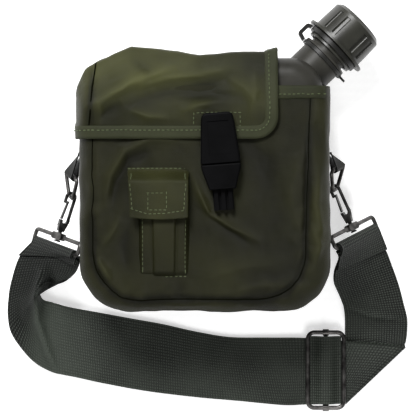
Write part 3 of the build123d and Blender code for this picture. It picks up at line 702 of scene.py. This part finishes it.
low, high = node_mm("pocket_flap")
fx0, fx1, fy0, fy1 = -54.7, -11.6, low.y, high.y
nx, ny = 56, 56
rows = []
for j in range(ny):
    t = j / (ny - 1)
    for i in range(nx):
        s = i / (nx - 1)
        taper = (1 - t) * (1.6 * (1 - s) - 0.2 * s)
        x = fx0 + (fx1 - fx0) * s + taper - (0.8 if t > 0.85 else 0) * (0.5 - s)
        y = fy0 + (fy1 - fy0) * t - 1.3 * math.sin(math.pi * s) * (1 - t)
        roll = smooth_step(np.array((fy1 - y) / 11.0))
        z = low.z + 1.2 + (high.z + 0.1 - low.z - 1.2) * float(roll)
        z -= 0.7 * smooth_step(np.array(1 - min(s, 1 - s) / 0.06)) - 0.5 * math.sin(math.pi * s)
        z += 0.25 * noise.noise(Vector((x * 0.1, y * 0.1, 5)))
        rows.append((x, y, float(z)))
faces = grid_faces(ny, nx)
pocket_flap = piece("pocket_flap_cloth", rows, faces, "pocket_cover", flap_painted_light_mat,
                    ("pocket_flap",))
# painted highlight: lighter towards the top, where the flap rolls over towards the light
set_painted_light(pocket_flap, [-0.16 + 0.10 * (v[1] - fy0) / (fy1 - fy0) for v in rows])
pocket_flap_skin = Skin(rows, faces)
thicken(pocket_flap, 1.0)
square = [(-40.2, -10.6), (-27.1, -10.6), (-27.1, -22.6), (-40.2, -22.6), (-40.2, -10.6)]
flap_rows = (
    ("square", [(x, y, high.z) for x, y in square], 0.15, 0.2),
    ("left", [(fx0 + 2.4, fy1 - 3, high.z - 4), (fx0 + 3.4, fy0 + 6, high.z)], 0.2, 0.26),
    ("right", [(fx1 - 2.4, fy1 - 3, high.z - 4), (fx1 - 3.2, fy0 + 6, high.z)], 0.2, 0.26),
    ("lower", [(fx0 + 3.4, fy0 + 6, high.z), (fx0 + 14, fy0 + 2.6, high.z),
               (fx0 + 26, fy0 + 3.0, high.z), (fx1 - 3.2, fy0 + 5, high.z)], 0.15, 0.22),
    ("top", [(fx0 + 1, fy1 - 0.8, low.z + 1.2), (fx1 - 1, fy1 - 0.8, low.z + 1.2)], 0.3, 0.3))
pocket_flap_pieces = [stitches("pocket_flap_" + where, pocket_flap_skin, path, "pocket_cover", lift=lift, r=r)
                      for where, path, lift, r in flap_rows]


# ------------------------------------------------------------------ sling webbing
def smooth_stations(stations, per):
    """Stations of two edge points each, with smooth ones put in between them."""
    s = np.array(stations, float)
    out = []
    for i in range(len(s) - 1):
        p0, p1, p2, p3 = s[max(i - 1, 0)], s[i], s[i + 1], s[min(i + 2, len(s) - 1)]
        n = max(2, int(np.linalg.norm(((p2 - p1)[:3] + (p2 - p1)[3:]) / 2) / per))
        out += [spline(p0, p1, p2, p3, k / n) for k in range(n)]
    return np.array(out + [s[-1]])


def ribbon(name, stations, thick, body, material, stands_for=(), per=1.6, across=20, wave=0.35,
           folds=(), shade=None):
    """Webbing through stations of two edge points, with real thickness, and its length."""
    edges = [(r[:3], r[3:]) for r in smooth_stations(stations, per)]
    g = np.array([[a + (b - a) * (j / (across - 1)) for j in range(across)] for a, b in edges])
    for i in range(g.shape[0]):
        for j in range(across):
            g[i, j, 2] += wave * noise.noise(Vector(g[i, j]) * 0.045)
    lift = np.zeros(g.shape[:2])
    for line, amount, width in folds:
        lift += crease(g[..., :2].reshape(-1, 2), line, amount, width).reshape(g.shape[:2])
    g[..., 2] += lift
    du, dv = np.gradient(g, axis=0), np.gradient(g, axis=1)
    nrm = np.cross(dv, du)
    nrm /= np.maximum(np.linalg.norm(nrm, axis=2, keepdims=True), 1e-9)
    topside, under = g + nrm * thick / 2, g - nrm * thick / 2
    clear = np.maximum(0.05 - np.minimum(topside[..., 2], under[..., 2]), 0)
    topside[..., 2] += clear
    under[..., 2] += clear
    n, c = g.shape[0], across
    verts = list(topside.reshape(-1, 3)) + list(under.reshape(-1, 3))
    faces = grid_faces(n, c) + [tuple(reversed(f)) for f in grid_faces(n, c, start=n * c)]
    for i in range(n - 1):
        for j, flip in ((0, 0), (c - 1, 1)):
            q = (i * c + j, (i + 1) * c + j, n * c + (i + 1) * c + j, n * c + i * c + j)
            faces.append(q if flip else q[::-1])
    for i, flip in ((0, 1), (n - 1, 0)):
        for j in range(c - 1):
            q = (i * c + j, i * c + j + 1, n * c + i * c + j + 1, n * c + i * c + j)
            faces.append(q if flip else q[::-1])
    ob = piece(name, verts, faces, body, material, stands_for)
    length = np.concatenate(([0], np.cumsum(np.linalg.norm(np.diff(g[:, c // 2], axis=0), axis=1))))
    # painted shade and painted highlight along the webbing, plus a little painted highlight on raised folds
    if shade:
        painted_shading = np.interp(length, *shade)[:, None] + 0.05 * lift
        set_painted_light(ob, list(painted_shading.reshape(-1)) * 2)
    uv = ob.data.uv_layers.new(name="lay")
    width = np.linalg.norm(g[n // 2, -1] - g[n // 2, 0])
    for loop in ob.data.loops:
        v = loop.vertex_index % (n * c)
        uv.data[loop.index].uv = (length[v // c] / 10.0, (v % c) / (c - 1) * width / 10.0)
    return ob, float(length[-1])


def bar_end(centre, across, run, half, along, drop):
    """The two edges of the webbing at a distance from the bar it hangs on, on its far side."""
    c, a, r = Vector(centre), Vector(across).normalized(), Vector(run).normalized()
    p = c + r * along - r.cross(a).normalized() * drop
    return (*(p - a * half), *(p + a * half))


ends = {"left": ((-110.24, -50.49, 33.07), (0.6381, -0.2015, 0.7431), (-0.3011, -0.9536, 0.0)),
        "right": ((111.53, -43.33, 33.22), (0.6100, 0.2749, -0.7431), (0.4108, -0.9117, 0.0))}
feet = {"left": (-137.5, -57.1, 11, -90.9, -56.8, 47), "right": (95.0, -67.2, 40, 134.4, -52.6, 10)}
half_web = 24.8
# the webbing's outer and inner edge points, from the right foot to the left one
floor_run = [
    (95.1, -76.3, 33, 138.3, -61.6, 9), (100.1, -87.2, 21, 144.7, -78.2, 5),
    (103.3, -95.1, 12, 148.5, -91.7, 4), (104.8, -103.6, 6, 151.6, -103.8, 2.5),
    (105.2, -115.9, 1, 151.8, -114.4, 1), (105.2, -140.0, 1, 151.1, -120.5, 1),
    (105.2, -164.1, 1, 149.9, -124.2, 1), (105.5, -167.7, 2.4, 150.2, -125.3, 2.4),
    (104.2, -167.5, 3.9, 147.0, -124.4, 3.9), (98.2, -167.5, 4.0, 128.2, -122.5, 4.0),
    (89.2, -168.3, 4, 104.2, -121.0, 4), (74.3, -168.7, 3.2, 75.8, -118.7, 3.2),
    (58.6, -169.2, 2.2, 47.3, -118.5, 2.4), (26.2, -166.2, 1.8, 18.7, -118.1, 2.2),
    (-3.8, -163.6, 1.8, -6.8, -114.0, 2.4), (-30.1, -160.6, 1.8, -31.6, -108.4, 3),
    (-53.4, -157.2, 1.8, -54.9, -104.2, 3.4), (-78.9, -152.3, 1.8, -81.8, -99.2, 4.5),
    (-95.5, -148.6, 1.8, -99.8, -95.8, 6.5), (-112.8, -144.8, 1.8, -113.1, -92.3, 8.5),
    (-125.5, -138.8, 2, -121.6, -89.1, 13), (-135.3, -129.4, 2, -123.1, -82.0, 20),
    (-145.1, -115.1, 2, -118.9, -77.3, 27), (-147.6, -102.3, 3, -111.1, -76.4, 31),
    (-147.2, -90.3, 3.5, -101.9, -74.0, 36), (-144.8, -76.7, 6, -94.1, -67.2, 42)]
stations = [bar_end(*ends["right"], half_web, along, 2.6) for along in (1.5, 7.0)]
stations += [feet["right"], *floor_run, feet["left"]]
stations += [bar_end(*ends["left"], half_web, along, 2.6) for along in (7.0, 1.5)]
# each fold's line seen from above, its height and its width
strap_folds = [
    ([(-120.2, -68.4), (-125.4, -86.5), (-124.8, -104.9), (-117.8, -129.2), (-111.9, -144.3)], 7.0, 2.6),
    ([(-112.8, -71.3), (-116.5, -82.0), (-109.7, -89.8)], -9.0, 5.0),
    ([(102.9, -93.6), (123.7, -101.4), (151.6, -105.3)], 2.6, 1.6),
    ([(103.6, -121.1), (127.7, -122.6), (149.5, -124.1)], 0.9, 1.2),
    ([(-138.5, -90.0), (-137.2, -105.1), (-128.4, -124.0)], -1.4, 4.0)]
# distances along the webbing, and how much darker or lighter it is painted there: painted shade on the bands
# rising to both rings, a painted highlight on the twist at the lower left
strap_shade = ((0, 40, 70, 110, 140, 320, 350, 372, 392, 440),
               (-0.34, -0.3, -0.2, -0.16, 0.0, 0.0, 0.2, 0.2, -0.35, -0.45))
strap, strap_length = ribbon("sling_webbing", stations, 1.8, "sling", web_mat, ("strap",),
                             across=40, folds=strap_folds, shade=strap_shade)


def wrap(side, painted_shading):
    """The webbing's end turned round its bar and sewn back on itself, down to its foot."""
    radius = 2.9
    c, a, r = Vector(ends[side][0]), Vector(ends[side][1]).normalized(), Vector(ends[side][2]).normalized()
    up = r.cross(a).normalized()
    turn = [(-radius * math.sin(t), radius * math.cos(t)) for t in np.linspace(0.2, math.pi - 0.2, 9)]
    places = [c + r * along + up * height for along, height in [(2.0, radius)] + turn]
    round_bar = [(*(p - a * half_web), *(p + a * half_web)) for p in places]
    low, high = np.array(feet[side]) + np.array((*up, *up)) * 1.9, np.array(round_bar[0])
    sewn = [tuple(low + (high - low) * k) for k in (0.0, 0.12, 0.55)]
    ob, length = ribbon("sling_end_" + side, sewn + round_bar, 1.6, "sling", web_mat,
                        per=1.2, across=26, wave=0.2, shade=((0, 60), (painted_shading, painted_shading)))


# painted shade on both turned ends, darker on the left
wrap("left", -0.42)
wrap("right", -0.25)

# ------------------------------------------------------------------ closure patches and buckle tapes
for name, body, slot, material, lean in (
    ("pocket_loop_patch", "cover", "patch_pile", pile_mat, 0.0),
    ("pocket_hook_patch", "pocket_cover", "patch_pile", pile_mat, 0.0),
    ("latch_plug_tape", "cover", "sling_webbing", web_plain_mat, 0.078),
):
    low, high = node_mm(name)
    thick = min(high.z - low.z, 1.4) - 0.08
    mid = Vector(((low.x + high.x) / 2, (low.y + high.y) / 2, low.z + thick / 2 + 0.04))
    wide, reach = (high.x - low.x) / 2 - lean * 14.6, (high.y - low.y) / 2
    flat_run = [(mid.x - wide - lean * dy, mid.y + dy, mid.z, mid.x + wide - lean * dy, mid.y + dy, mid.z)
                for dy in (-reach, 0.0, reach)]
    ob, length = ribbon(name + "_cloth", flat_run, thick, body, material, (name,),
                        per=1.2, across=14, wave=0.06)
low, high = node_mm("latch_socket_tape")
mid_x, mid_y = (low.x + high.x) / 2, (low.y + high.y) / 2
half_tape = 6.6
loop = ((2.3, 0.5), (2.1, 1.9), (1.4, 2.9), (0, 3.2), (-1.4, 2.9), (-2.1, 1.9), (-2.3, 0.5))
loop_run = [(mid_x - half_tape, mid_y + dy, low.z + dz, mid_x + half_tape, mid_y + dy, low.z + dz)
            for dy, dz in loop]
ob, _ = ribbon("latch_socket_tape_cloth", loop_run, 1.0, "flap", web_plain_mat,
               ("latch_socket_tape",), per=0.6, across=14, wave=0.05)

# ------------------------------------------------------------------ webbing over the slider's bar
low, high = node_mm("strap_bridge")
mid_x, y0, y1 = (low.x + high.x) / 2, low.y, high.y
climb = ((11.6, low.z + 0.9), (8, low.z + 1.6), (4.5, high.z - 2.2), (2, high.z - 1.1))
over = [(-dx, z) for dx, z in climb] + list(reversed(climb))
bridge = [(mid_x + dx, y0, z, mid_x + dx, y1, z) for dx, z in over]
bridge_web, bridge_length = ribbon("slider_webbing", bridge, 1.7, "slider", web_mat,
                                   ("strap_bridge",), wave=0.15)

# ------------------------------------------------------------------ tabs that carry the D-rings
for side, root, bar, lean, fall in (
    ("left", (-90.8, 19, 38), (-97.8, 3.0, 38), 0.36, (-0.04, -0.955, -0.29)),
    ("right", (90.8, 19, 38), (97.2, 8.5, 38), -0.36, (-0.10, -0.95, -0.28)),
):
    r, c = Vector(root), Vector(bar)
    fall = Vector(fall).normalized()
    lie = Vector((lean, 0, 0.93))
    lie = (lie - fall * lie.dot(fall)).normalized()
    t = (c - r).normalized()
    out = t.cross(lie).normalized()
    rise = Vector((0, 0, 1))
    side_on = t.cross(rise).normalized()
    mid_lie = (lie + rise).normalized()
    path = [(r + side_on * 0.8, rise, 8.0), (r.lerp(c, 0.4) + out * 1.4, mid_lie, 5.6)]
    path += [(c + t * 2.3 * math.sin(k) + out * 2.3 * math.cos(k), lie, 8.0)
             for k in np.linspace(0, math.pi, 7)]
    path += [(r.lerp(c, 0.4) - out * 1.4, mid_lie, 5.6), (r - side_on * 0.8, rise, 8.0)]
    tab_run = [(*(p - d * w), *(p + d * w)) for p, d, w in path]
    # painted shade: the tabs take the very dark small webbing, as their olive loops sit in shade
    ob, length = ribbon("tab_webbing_" + side, tab_run, 1.1, "sling", web_plain_mat,
                        ("tab_" + side,), per=1.0, across=12, wave=0.3)

# ------------------------------------------------------------------ floor
floor = bpy.data.meshes.new("floor")
floor.from_pydata([(-3, -3, 0), (3, -3, 0), (3, 3, 0), (-3, 3, 0)], [], [(0, 1, 2, 3)])
floor.materials.append(floor_mat)
ground = bpy.data.objects.new("floor", floor)
scene.collection.objects.link(ground)
